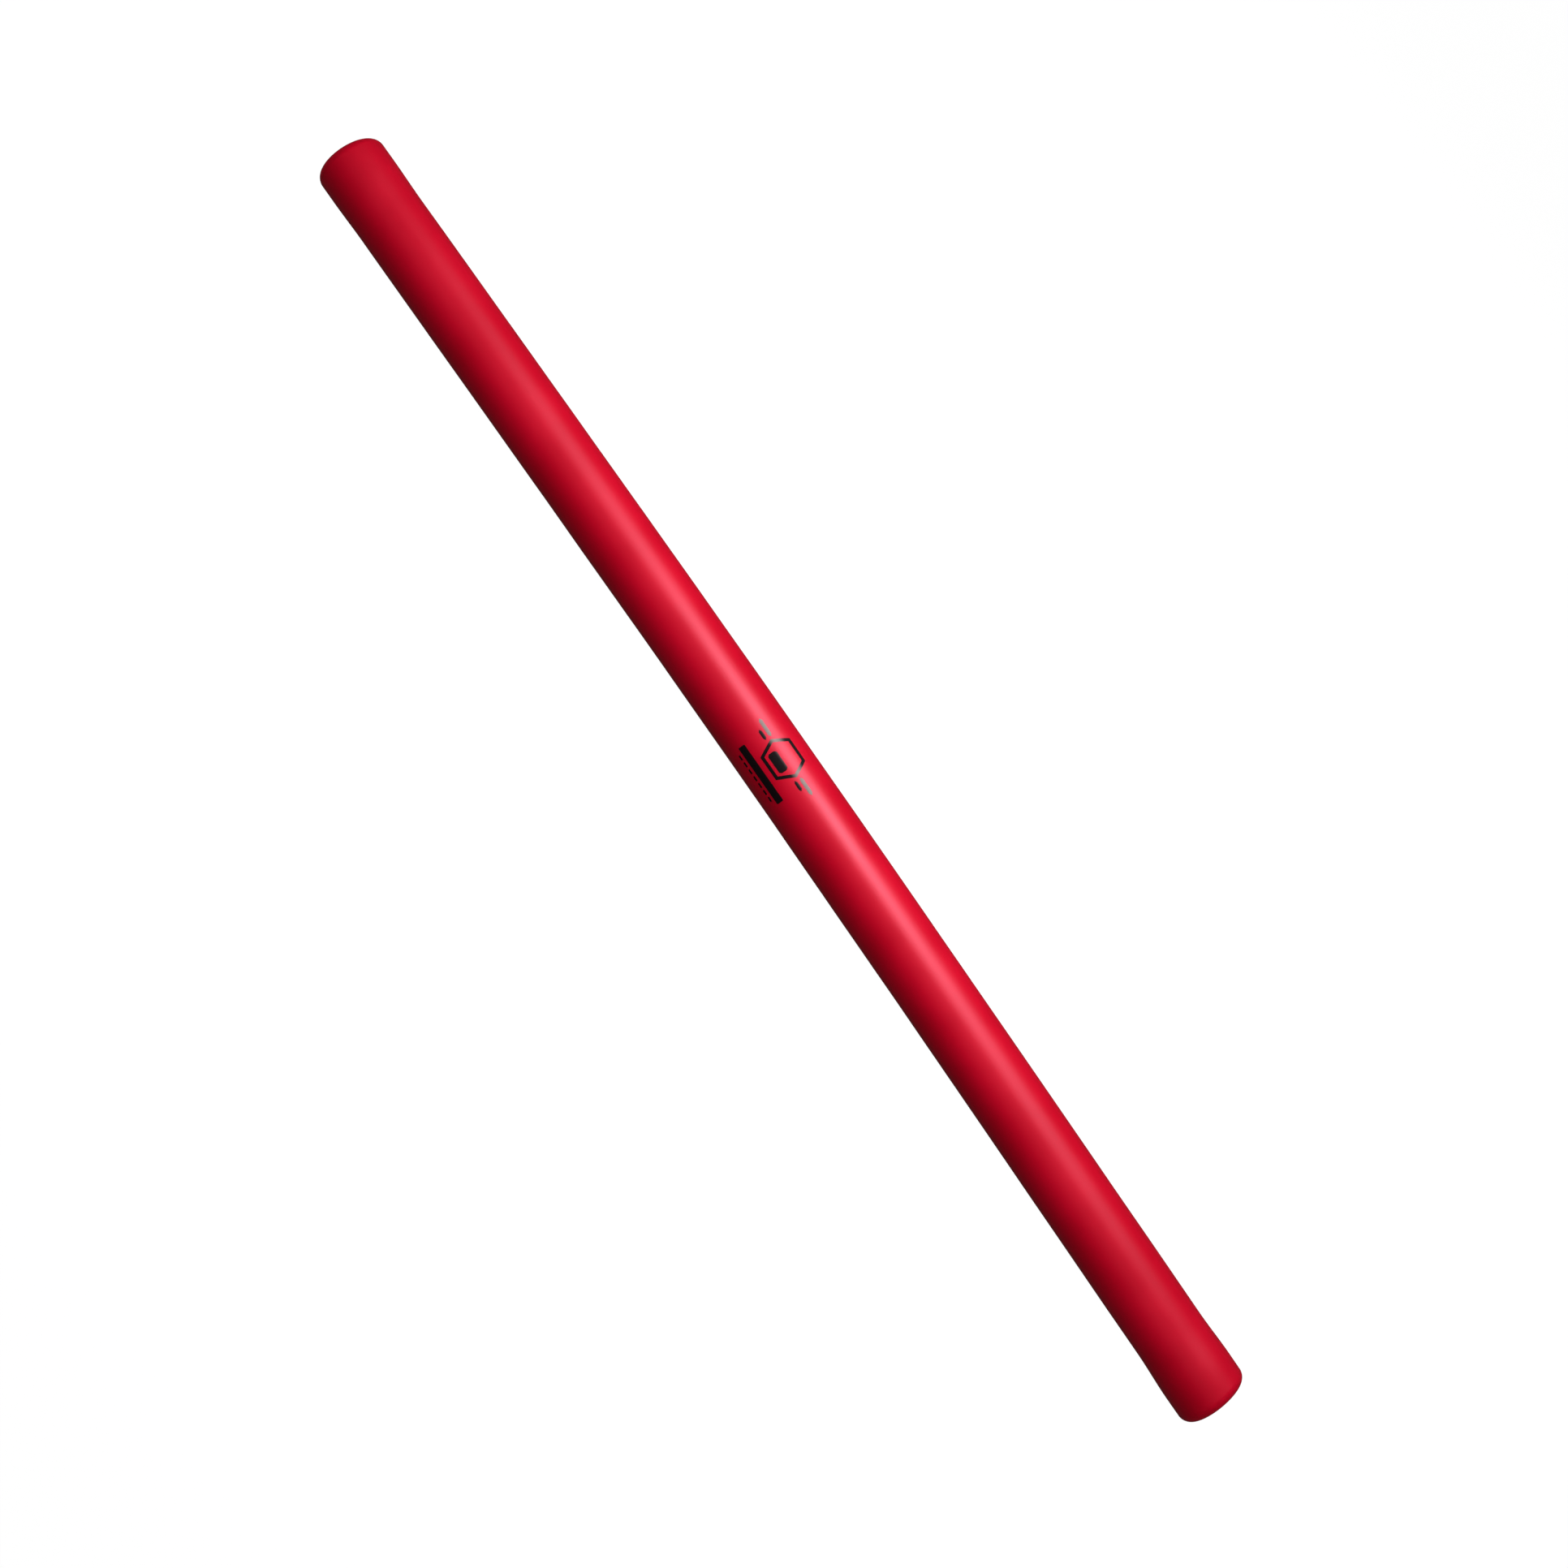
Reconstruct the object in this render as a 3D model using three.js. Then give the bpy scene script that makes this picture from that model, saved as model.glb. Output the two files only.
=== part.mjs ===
// A padded practice stick, built up in layers: a plastic core tube with a plug pressed into each
// end, a foam sleeve over the tube, a foam pad glued over each end, and one seamless dipped vinyl
// skin around all of it, with a transfer print near the middle.
//
// Millimetres, +Z up. The stick lies along X with its middle at x = 0 and touches z = 0 with its
// slightly swollen ends. All round pieces are turned about one axis in the same number of flats,
// with one flat facing straight down, so neighbouring pieces stay parallel and keep an even gap.

import * as THREE from "three";

// Overall size
const LENGTH = 660.4; // 26 in
const BARREL_RADIUS = 15.875; // 1 1/4 in across
const FLATS = 48; // flats around every turned piece

// Ends of the skin: it swells where it passes from the sleeve to the end pad
const SWELL_RADIUS = 16.275;
const SWELL_START = 301; // distance from the middle of the stick
const SWELL_END = 314;
const RIM_RADIUS = 4.6; // rounding between the side and the end
const CAP_RADIUS = 48; // the end is a shallow dome of this radius
const HOOK_HOLE_RADIUS = 0.8; // left by the wire that the stick hangs from while it is dipped

// Layers
const GAP = 0.1; // glue line between neighbouring pieces
const SKIN = 0.8;
const TUBE_RADIUS = 9.525; // 3/4 in across
const TUBE_BORE = 7;
const JOINT = 317; // plane where the sleeve and the plug end and the pad begins
const FOAM_INSET = SKIN + GAP; // the foam lies this far under the outer surface

// Plugs
const PLUG_HEAD = 3;
const PLUG_STEM = 18;
const PLUG_STEM_RADIUS = 6.3;
const PLUG_CUP_RADIUS = 4.6;
const PLUG_CUP_FLOOR = 1.5; // thickness left between the cup and the head
const PLUG_RIBS = 3;
const PLUG_RIB_PITCH = 5;
const PLUG_FIRST_RIB = 2;
const PLUG_LEAD_IN = 1;

// Transfer print: a thin film wrapped over the top of the barrel, half way along it
const PRINT_CENTRE = 0;
const PRINT_LENGTH = 42;
const PRINT_FILM = 0.1;
const PRINT_FIRST_CORNER = -6.5; // in flats round from the top, towards -Y
const PRINT_LAST_CORNER = 6.5; // in flats round from the top, towards +Y

// Steps of the curves
const SWELL_STEPS = 4;
const RIM_STEPS = 5;
const CAP_STEPS = 3;

const FLAT_ANGLE = (2 * Math.PI) / FLATS;
const END = LENGTH / 2;

const finish = (color, roughness) => new THREE.MeshStandardMaterial({ color, roughness, metalness: 0 });

const finishes = {
  skin: finish(0xb8021f, 0.5),
  foam: finish(0x26272a, 0.95),
  tube: finish(0xd9d8d2, 0.45),
  plug: finish(0x1c1d20, 0.6),
  print: finish(0x17171a, 0.4),
};

// Distance from the axis to a corner between two flats that stand flatRadius from the axis.
const corner = (flatRadius) => flatRadius / Math.cos(FLAT_ANGLE / 2);

// The same outline at the stick's other end, listed in the opposite order.
const mirrored = (outline) => outline.map(([x, radius]) => [-x, radius]).reverse();

// A solid turned about X from [x, radius] points. The side to the left of the path, as it runs
// with x to the right and the radius upwards, is outside.
function turned(outline) {
  const points = outline.map(([x, radius]) => new THREE.Vector2(corner(radius), x));
  const geometry = new THREE.LatheGeometry(points, FLATS, FLAT_ANGLE / 2);
  geometry.rotateZ(-Math.PI / 2);
  return geometry;
}

// The swell at the right-hand end, at a depth under the outer surface: from the barrel's radius
// to the swollen one along half a cosine wave.
function swell(depth) {
  const outline = [];
  for (let step = 0; step <= SWELL_STEPS; step += 1) {
    const part = step / SWELL_STEPS;
    const rise = (1 - Math.cos(Math.PI * part)) / 2;
    outline.push([
      THREE.MathUtils.lerp(SWELL_START, SWELL_END, part),
      THREE.MathUtils.lerp(BARREL_RADIUS, SWELL_RADIUS, rise) - depth,
    ]);
  }
  return outline;
}

// The rounded rim and the domed end on the right, at a depth under the outer surface: a rim arc
// that meets the side and the dome without a corner, then the dome, down to lastRadius.
function roundedEnd(depth, lastRadius = 0) {
  const rim = RIM_RADIUS - depth;
  const cap = CAP_RADIUS - depth;
  const rimCentreRadius = SWELL_RADIUS - RIM_RADIUS;
  const capCentre = END - CAP_RADIUS;
  const rimTurn = Math.asin(rimCentreRadius / (CAP_RADIUS - RIM_RADIUS));
  const rimCentre = capCentre + (CAP_RADIUS - RIM_RADIUS) * Math.cos(rimTurn);
  const lastTurn = Math.asin(lastRadius / cap);
  const outline = [];
  for (let step = 0; step <= RIM_STEPS; step += 1) {
    const angle = THREE.MathUtils.lerp(Math.PI / 2, rimTurn, step / RIM_STEPS);
    outline.push([rimCentre + rim * Math.cos(angle), rimCentreRadius + rim * Math.sin(angle)]);
  }
  for (let step = 1; step <= CAP_STEPS; step += 1) {
    const angle = THREE.MathUtils.lerp(rimTurn, lastTurn, step / CAP_STEPS);
    const radius = step === CAP_STEPS ? lastRadius : cap * Math.sin(angle);
    outline.push([capCentre + cap * Math.cos(angle), radius]);
  }
  return outline;
}

// One closed wall with a hook hole through its left end, so that its hollow is open to the air.
function vinylSkin() {
  const outside = [
    ...mirrored([...swell(0), ...roundedEnd(0, HOOK_HOLE_RADIUS)]),
    ...swell(0),
    ...roundedEnd(0),
  ];
  const inside = [
    ...mirrored([...swell(SKIN), ...roundedEnd(SKIN, HOOK_HOLE_RADIUS)]),
    ...swell(SKIN),
    ...roundedEnd(SKIN),
  ];
  return turned([...inside.reverse(), ...outside]);
}

// The sleeve follows the inside of the skin and ends square at the joint with the pads.
function foamSleeve() {
  const bore = TUBE_RADIUS + GAP;
  const rightEnd = [...swell(FOAM_INSET), [JOINT, SWELL_RADIUS - FOAM_INSET]];
  const leftCorner = [-JOINT, bore];
  return turned([leftCorner, ...mirrored(rightEnd), ...rightEnd, [JOINT, bore], leftCorner]);
}

// The pad has a flat back glued to the sleeve and the plug, and fills the rounded end.
function endPad() {
  const back = JOINT + GAP;
  return turned([[back, 0], [back, SWELL_RADIUS - FOAM_INSET], ...roundedEnd(FOAM_INSET)]);
}

function coreTube() {
  const end = JOINT - PLUG_HEAD - GAP;
  const leftCorner = [-end, TUBE_BORE];
  return turned([leftCorner, [-end, TUBE_RADIUS], [end, TUBE_RADIUS], [end, TUBE_BORE], leftCorner]);
}

// A moulded plug: a flat head that covers the tube's end, and a hollow stem with barbed ribs that
// grip the bore. Each rib rises slowly from the tip and drops square towards the head.
function corePlug() {
  const headBack = JOINT - PLUG_HEAD;
  const tip = headBack - PLUG_STEM;
  const ribRadius = TUBE_BORE - GAP;
  const outline = [
    [headBack + PLUG_CUP_FLOOR, 0],
    [headBack + PLUG_CUP_FLOOR, PLUG_CUP_RADIUS],
    [tip, PLUG_CUP_RADIUS],
    [tip, PLUG_STEM_RADIUS - PLUG_LEAD_IN / 2],
    [tip + PLUG_LEAD_IN, PLUG_STEM_RADIUS],
  ];
  for (let rib = 0; rib < PLUG_RIBS; rib += 1) {
    const start = tip + PLUG_FIRST_RIB + rib * PLUG_RIB_PITCH;
    const crest = start + PLUG_RIB_PITCH / 2;
    outline.push([start, PLUG_STEM_RADIUS], [crest, ribRadius], [crest, PLUG_STEM_RADIUS]);
  }
  outline.push([headBack, PLUG_STEM_RADIUS], [headBack, TUBE_RADIUS]);
  outline.push([JOINT, TUBE_RADIUS], [JOINT, 0]);
  return turned(outline);
}

// The film is a curved strip whose flats lie over the skin's own flats.
function transferPrint() {
  const inner = corner(BARREL_RADIUS + GAP);
  const outer = corner(BARREL_RADIUS + GAP + PRINT_FILM);
  const around = (radius, flat) =>
    new THREE.Vector2(radius * Math.sin(flat * FLAT_ANGLE), radius * Math.cos(flat * FLAT_ANGLE));
  const section = [];
  for (let flat = PRINT_FIRST_CORNER; flat <= PRINT_LAST_CORNER; flat += 1) {
    section.push(around(outer, flat));
  }
  for (let flat = PRINT_LAST_CORNER; flat >= PRINT_FIRST_CORNER; flat -= 1) {
    section.push(around(inner, flat));
  }
  const geometry = new THREE.ExtrudeGeometry(new THREE.Shape(section), {
    depth: PRINT_LENGTH,
    steps: 1,
    bevelEnabled: false,
  });
  geometry.translate(0, 0, PRINT_CENTRE - PRINT_LENGTH / 2);
  const alongY = new THREE.Vector3(0, 1, 0);
  const alongZ = new THREE.Vector3(0, 0, 1);
  const alongX = new THREE.Vector3(1, 0, 0);
  return geometry.applyMatrix4(new THREE.Matrix4().makeBasis(alongY, alongZ, alongX));
}

function piece(name, geometry, material) {
  const mesh = new THREE.Mesh(geometry, material);
  mesh.name = name;
  return mesh;
}

// The piece that fits the right-hand end, turned half round about Z for the left-hand end.
function pair(name, makeGeometry, material) {
  const right = piece(`${name}_right`, makeGeometry(), material);
  const left = piece(`${name}_left`, makeGeometry(), material);
  left.rotation.z = Math.PI;
  return [left, right];
}

const stick = new THREE.Group();
stick.position.z = SWELL_RADIUS;
stick.add(piece("core_tube", coreTube(), finishes.tube));
stick.add(...pair("core_plug", corePlug, finishes.plug));
stick.add(piece("foam_sleeve", foamSleeve(), finishes.foam));
stick.add(...pair("end_pad", endPad, finishes.foam));
stick.add(piece("vinyl_skin", vinylSkin(), finishes.skin));
stick.add(piece("transfer_print", transferPrint(), finishes.print));

export default stick;
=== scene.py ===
"""A padded practice stick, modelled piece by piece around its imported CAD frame.

The stick lies along X with the middle of its length at x = 0, and its print faces +Z. Every size
is in metres. Pieces are turned, trimmed and wrapped with Blender's own modelling operators, then
bent together by the slight bow that a long foam-wrapped tube has.
"""

import logging
import math
from dataclasses import dataclass, field, replace
from enum import Enum
from typing import Callable, Sequence

import bmesh
import bpy
from mathutils import Matrix, Vector


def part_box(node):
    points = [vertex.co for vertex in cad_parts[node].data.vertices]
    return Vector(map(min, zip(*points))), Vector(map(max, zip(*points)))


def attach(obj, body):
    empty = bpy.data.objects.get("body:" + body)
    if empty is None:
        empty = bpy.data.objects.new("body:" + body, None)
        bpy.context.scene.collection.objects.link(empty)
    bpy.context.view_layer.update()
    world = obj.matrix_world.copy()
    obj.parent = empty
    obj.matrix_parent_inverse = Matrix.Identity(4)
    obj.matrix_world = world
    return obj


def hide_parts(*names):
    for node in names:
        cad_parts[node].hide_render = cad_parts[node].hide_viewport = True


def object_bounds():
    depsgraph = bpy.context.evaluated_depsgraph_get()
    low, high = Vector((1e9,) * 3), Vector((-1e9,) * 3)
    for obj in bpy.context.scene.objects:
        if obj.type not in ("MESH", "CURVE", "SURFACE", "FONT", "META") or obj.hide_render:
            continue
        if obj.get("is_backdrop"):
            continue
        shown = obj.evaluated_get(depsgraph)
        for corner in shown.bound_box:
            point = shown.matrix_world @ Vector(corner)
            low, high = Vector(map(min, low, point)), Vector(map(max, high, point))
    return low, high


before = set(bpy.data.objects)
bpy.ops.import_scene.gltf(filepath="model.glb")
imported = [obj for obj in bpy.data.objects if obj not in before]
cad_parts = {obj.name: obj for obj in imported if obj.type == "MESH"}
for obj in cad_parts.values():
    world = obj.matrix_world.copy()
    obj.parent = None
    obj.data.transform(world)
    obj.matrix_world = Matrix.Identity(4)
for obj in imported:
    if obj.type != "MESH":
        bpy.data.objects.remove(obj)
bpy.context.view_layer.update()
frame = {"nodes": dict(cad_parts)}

Point = tuple[float, float]
Colour = tuple[float, float, float]
Panel = tuple[float, float, float]

MM = 0.001
BODY = "root"
MERGE_DISTANCE = 0.002 * MM
SMOOTH_ANGLE = math.radians(32)

log = logging.getLogger("practice_stick")


# ---------------------------------------------------------------------------------------------
# Sizes
# ---------------------------------------------------------------------------------------------


class Side(Enum):
    """The two ends of the stick, each with the sign of its X."""

    LEFT = -1
    RIGHT = 1


@dataclass(frozen=True)
class StickSizes:
    """The stick's main sizes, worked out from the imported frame.

    Attributes:
        tip: Distance from the middle of the stick to the tip of either end.
        swell: Radius of the swollen ends.
        barrel: Radius of the straight barrel.
        axis: Height of the stick's axis over the floor.
        joint: Distance from the middle to where the sleeve ends and the end pad begins.
        pad_back: Distance from the middle to the flat back of the end pad.
        foam_depth: Depth of the foam's surface under the skin's surface.
        tube: Outer radius of the core tube.
        tube_end: Distance from the middle to either end of the core tube.
        print_centre: Place of the print's middle along X.
    """

    tip: float
    swell: float
    barrel: float
    axis: float
    joint: float
    pad_back: float
    foam_depth: float
    tube: float
    tube_end: float
    print_centre: float

    @classmethod
    def from_frame(cls, swell_height: float) -> "StickSizes":
        """Read the sizes from the boxes of the CAD nodes.

        Args:
            swell_height: How far the swollen ends stand out over the barrel.

        Returns:
            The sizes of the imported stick.
        """
        skin_low, skin_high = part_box("vinyl_skin")
        sleeve_low, sleeve_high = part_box("foam_sleeve")
        tube_low, tube_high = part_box("core_tube")
        print_low, print_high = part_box("transfer_print")
        swell = (skin_high.z - skin_low.z) / 2
        return cls(
            tip=skin_high.x,
            swell=swell,
            barrel=swell - swell_height,
            axis=(skin_low.z + skin_high.z) / 2,
            joint=sleeve_high.x,
            pad_back=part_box("end_pad_right")[0].x,
            foam_depth=swell - (sleeve_high.z - sleeve_low.z) / 2,
            tube=(tube_high.z - tube_low.z) / 2,
            tube_end=tube_high.x,
            print_centre=(print_low.x + print_high.x) / 2,
        )


@dataclass(frozen=True)
class EndShape:
    """The shared outline of the stick's ends: a swell, a rounded rim and a shallow dome.

    Attributes:
        sizes: The stick's main sizes.
        swell_start: Distance from the middle to where the swell begins.
        swell_end: Distance from the middle to where the swell reaches its full radius.
        rim: Radius of the rounding between the side and the dome.
        dome: Radius of the dome.
        swell_margin: Length of straight side in front of the rim that leans with it.
        swell_steps: Steps in the swell's outline.
        rim_steps: Steps in the rim's arc.
        dome_steps: Steps in the dome's arc.
    """

    sizes: StickSizes
    swell_start: float = 294 * MM
    swell_end: float = 316 * MM
    rim: float = 4.6 * MM
    dome: float = 48 * MM
    swell_margin: float = 0.5 * MM
    swell_steps: int = 12
    rim_steps: int = 14
    dome_steps: int = 9

    def swell_outline(self, depth: float, thicker: float = 0.0) -> list[Point]:
        """Outline the right-hand swell, a half cosine wave.

        Args:
            depth: Depth of the outline under the skin's surface.
            thicker: How much further out the swollen part stands.

        Returns:
            Points of place along X and radius.
        """
        outline = []
        for step in range(self.swell_steps + 1):
            share = step / self.swell_steps
            rise = (1 - math.cos(math.pi * share)) / 2
            place = self.swell_start + share * (self.swell_end - self.swell_start)
            radius = self.sizes.barrel + rise * (self.sizes.swell + thicker - self.sizes.barrel)
            outline.append((place, radius - depth))
        return outline

    def rim_start(self) -> float:
        """Give the distance from the middle to where the side ends and the rim begins."""
        turn = math.asin((self.sizes.swell - self.rim) / (self.dome - self.rim))
        return self.sizes.tip - self.dome + (self.dome - self.rim) * math.cos(turn)

    def rounded_outline(self, depth: float, last_radius: float = 0.0) -> list[Point]:
        """Outline the right-hand rim and dome, which meet without a corner.

        Args:
            depth: Depth of the outline under the skin's surface.
            last_radius: Radius at which the outline stops, zero for the axis.

        Returns:
            Points of place along X and radius.
        """
        rim_radius = self.sizes.swell - self.rim
        dome_centre = self.sizes.tip - self.dome
        turn = math.asin(rim_radius / (self.dome - self.rim))
        rim_centre = self.rim_start()
        last_turn = math.asin(last_radius / (self.dome - depth))
        outline = []
        for step in range(self.rim_steps + 1):
            angle = math.pi / 2 + step / self.rim_steps * (turn - math.pi / 2)
            reach = self.rim - depth
            place = rim_centre + reach * math.cos(angle)
            outline.append((place, rim_radius + reach * math.sin(angle)))
        for step in range(1, self.dome_steps + 1):
            angle = turn + step / self.dome_steps * (last_turn - turn)
            reach = self.dome - depth
            outline.append((dome_centre + reach * math.cos(angle), reach * math.sin(angle)))
        return outline

    def whole(
        self, depth: float, last_radius: float = 0.0, thicker: float = 0.0
    ) -> list[Point]:
        """Outline the right-hand end from the barrel to the tip.

        Args:
            depth: Depth of the outline under the skin's surface.
            last_radius: Radius at which the outline stops, zero for the axis.
            thicker: How much further out the swollen part stands.

        Returns:
            Points of place along X and radius.
        """
        tip = self.rounded_outline(depth - thicker, last_radius)
        return self.swell_outline(depth, thicker) + tip


def mirrored(outline: Sequence[Point]) -> list[Point]:
    """Carry a right-hand outline to the left end, listed in the opposite order."""
    return [(-place, radius) for place, radius in reversed(outline)]


# ---------------------------------------------------------------------------------------------
# Shader maths
# ---------------------------------------------------------------------------------------------


class Wire:
    """A number socket of a shader tree, with the arithmetic of its Math nodes."""

    def __init__(self, tree: bpy.types.NodeTree, socket: bpy.types.NodeSocket) -> None:
        """Hold a socket.

        Args:
            tree: The tree that the socket's node is in.
            socket: The output socket to wrap.
        """
        self.tree = tree
        self.socket = socket

    def _math(self, operation: str, first: "Wire | float", second: "Wire | float") -> "Wire":
        """Add a Math node on two values.

        Args:
            operation: The node's operation.
            first: The first value.
            second: The second value.

        Returns:
            The node's result.
        """
        node = self.tree.nodes.new("ShaderNodeMath")
        node.operation = operation
        for value, entry in zip((first, second), node.inputs):
            if isinstance(value, Wire):
                self.tree.links.new(value.socket, entry)
            else:
                entry.default_value = value
        return Wire(self.tree, node.outputs[0])

    def __add__(self, other: "Wire | float") -> "Wire":
        """Add a value."""
        return self._math("ADD", self, other)

    def __radd__(self, other: float) -> "Wire":
        """Add to a plain number."""
        return self._math("ADD", other, self)

    def __sub__(self, other: "Wire | float") -> "Wire":
        """Take a value away."""
        return self._math("SUBTRACT", self, other)

    def __rsub__(self, other: float) -> "Wire":
        """Take from a plain number."""
        return self._math("SUBTRACT", other, self)

    def __mul__(self, other: "Wire | float") -> "Wire":
        """Multiply by a value."""
        return self._math("MULTIPLY", self, other)

    def __rmul__(self, other: float) -> "Wire":
        """Multiply a plain number."""
        return self._math("MULTIPLY", other, self)

    def __pow__(self, other: float) -> "Wire":
        """Raise to a power."""
        return self._math("POWER", self, other)

    def __abs__(self) -> "Wire":
        """Drop the sign."""
        return self._math("ABSOLUTE", self, 0.0)

    def larger(self, other: "Wire | float") -> "Wire":
        """Take the larger of two values."""
        return self._math("MAXIMUM", self, other)


class NodeBench:
    """A node tree, and the one way in which its nodes are added."""

    def __init__(self, tree: bpy.types.NodeTree) -> None:
        """Hold a tree.

        Args:
            tree: The tree of a material or of the world.
        """
        self.tree = tree

    def node(
        self, kind: str, settings: dict | None = None, inputs: dict | None = None
    ) -> bpy.types.Node:
        """Add a node.

        Args:
            kind: The node's type, such as ShaderNodeTexNoise.
            settings: Values of the node's own settings.
            inputs: Values or links of its sockets, by name or index.

        Returns:
            The node.
        """
        made = self.tree.nodes.new(kind)
        for name, value in (settings or {}).items():
            setattr(made, name, value)
        self.feed(made, inputs or {})
        return made

    def feed(self, node: bpy.types.Node, inputs: dict) -> None:
        """Set or link the sockets of a node.

        Args:
            node: The node whose inputs are set.
            inputs: Values or links of its sockets, by name or index.
        """
        for name, value in inputs.items():
            entry = node.inputs[name]
            if isinstance(value, Wire):
                self.tree.links.new(value.socket, entry)
            elif isinstance(value, bpy.types.NodeSocket):
                self.tree.links.new(value, entry)
            else:
                entry.default_value = value


class ShaderBench(NodeBench):
    """A new material's tree, with the patterns that the finishes share."""

    def __init__(self, name: str) -> None:
        """Start a material with a Principled shader.

        Args:
            name: The material's name.
        """
        self.material = bpy.data.materials.new(name)
        self.material.use_nodes = True
        super().__init__(self.material.node_tree)
        self.shader = next(n for n in self.tree.nodes if n.type == "BSDF_PRINCIPLED")

    def place(self, stretch: Colour = (1, 1, 1)) -> bpy.types.NodeSocket:
        """Give the place on the piece in metres, stretched along each axis.

        Args:
            stretch: Factor along each axis. A small one draws a pattern out along that axis.

        Returns:
            A vector socket.
        """
        spot = self.node("ShaderNodeTexCoord").outputs["Object"]
        mapped = self.node("ShaderNodeMapping", {}, {"Vector": spot, "Scale": stretch})
        return mapped.outputs["Vector"]

    def along(self, axis: str) -> Wire:
        """Give the place on the piece along one axis, in metres."""
        spot = self.node("ShaderNodeTexCoord").outputs["Object"]
        parts = self.node("ShaderNodeSeparateXYZ", {}, {"Vector": spot})
        return Wire(self.tree, parts.outputs[axis])

    def noise(self, size: float, detail: float = 2.0, stretch: Colour = (1, 1, 1)) -> Wire:
        """Add a noise from 0 to 1.

        Args:
            size: Size of its largest features, in metres.
            detail: How many finer layers it has.
            stretch: Factor along each axis.

        Returns:
            The noise.
        """
        inputs = {"Vector": self.place(stretch), "Scale": 1 / size, "Detail": detail}
        made = self.node("ShaderNodeTexNoise", {"noise_dimensions": "3D"}, inputs)
        return Wire(self.tree, made.outputs[0])

    def cells(self, size: float, feature: str = "F1") -> Wire:
        """Add a pattern of cells, as the distance from each cell's centre or edge.

        Args:
            size: Size of a cell, in metres.
            feature: The Voronoi feature.

        Returns:
            The distance, in cells.
        """
        inputs = {"Vector": self.place(), "Scale": 1 / size}
        made = self.node("ShaderNodeTexVoronoi", {"feature": feature}, inputs)
        return Wire(self.tree, made.outputs["Distance"])

    def ramp(self, value: Wire, low: float, high: float) -> Wire:
        """Ease a value from 0 at low to 1 at high.

        Args:
            value: The value to map.
            low: Where the result is 0.
            high: Where the result is 1.

        Returns:
            The eased value.
        """
        inputs = {"Value": value, "From Min": low, "From Max": high}
        settings = {"interpolation_type": "SMOOTHSTEP"}
        return Wire(self.tree, self.node("ShaderNodeMapRange", settings, inputs).outputs[0])

    def blend(
        self, share: Wire, first: Colour | bpy.types.NodeSocket, second: Colour
    ) -> bpy.types.NodeSocket:
        """Mix two colours.

        Args:
            share: How much of the second colour shows.
            first: A colour, or a link to one.
            second: A colour.

        Returns:
            The mixed colour.
        """
        mix = self.node("ShaderNodeMix", {"data_type": "RGBA"}, {0: share})
        start = first if isinstance(first, bpy.types.NodeSocket) else (*first, 1)
        self.feed(mix, {6: start, 7: (*second, 1)})
        return mix.outputs[2]

    def bump(self, height: Wire, depth: float, strength: float = 1.0) -> bpy.types.NodeSocket:
        """Turn a height into a surface normal.

        Args:
            height: The height, from 0 to 1.
            depth: The height of 1, in metres.
            strength: How much of the bump shows.

        Returns:
            A normal.
        """
        inputs = {"Height": height, "Distance": depth, "Strength": strength}
        return self.node("ShaderNodeBump", {}, inputs).outputs["Normal"]


# ---------------------------------------------------------------------------------------------
# Finishes
# ---------------------------------------------------------------------------------------------


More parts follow.
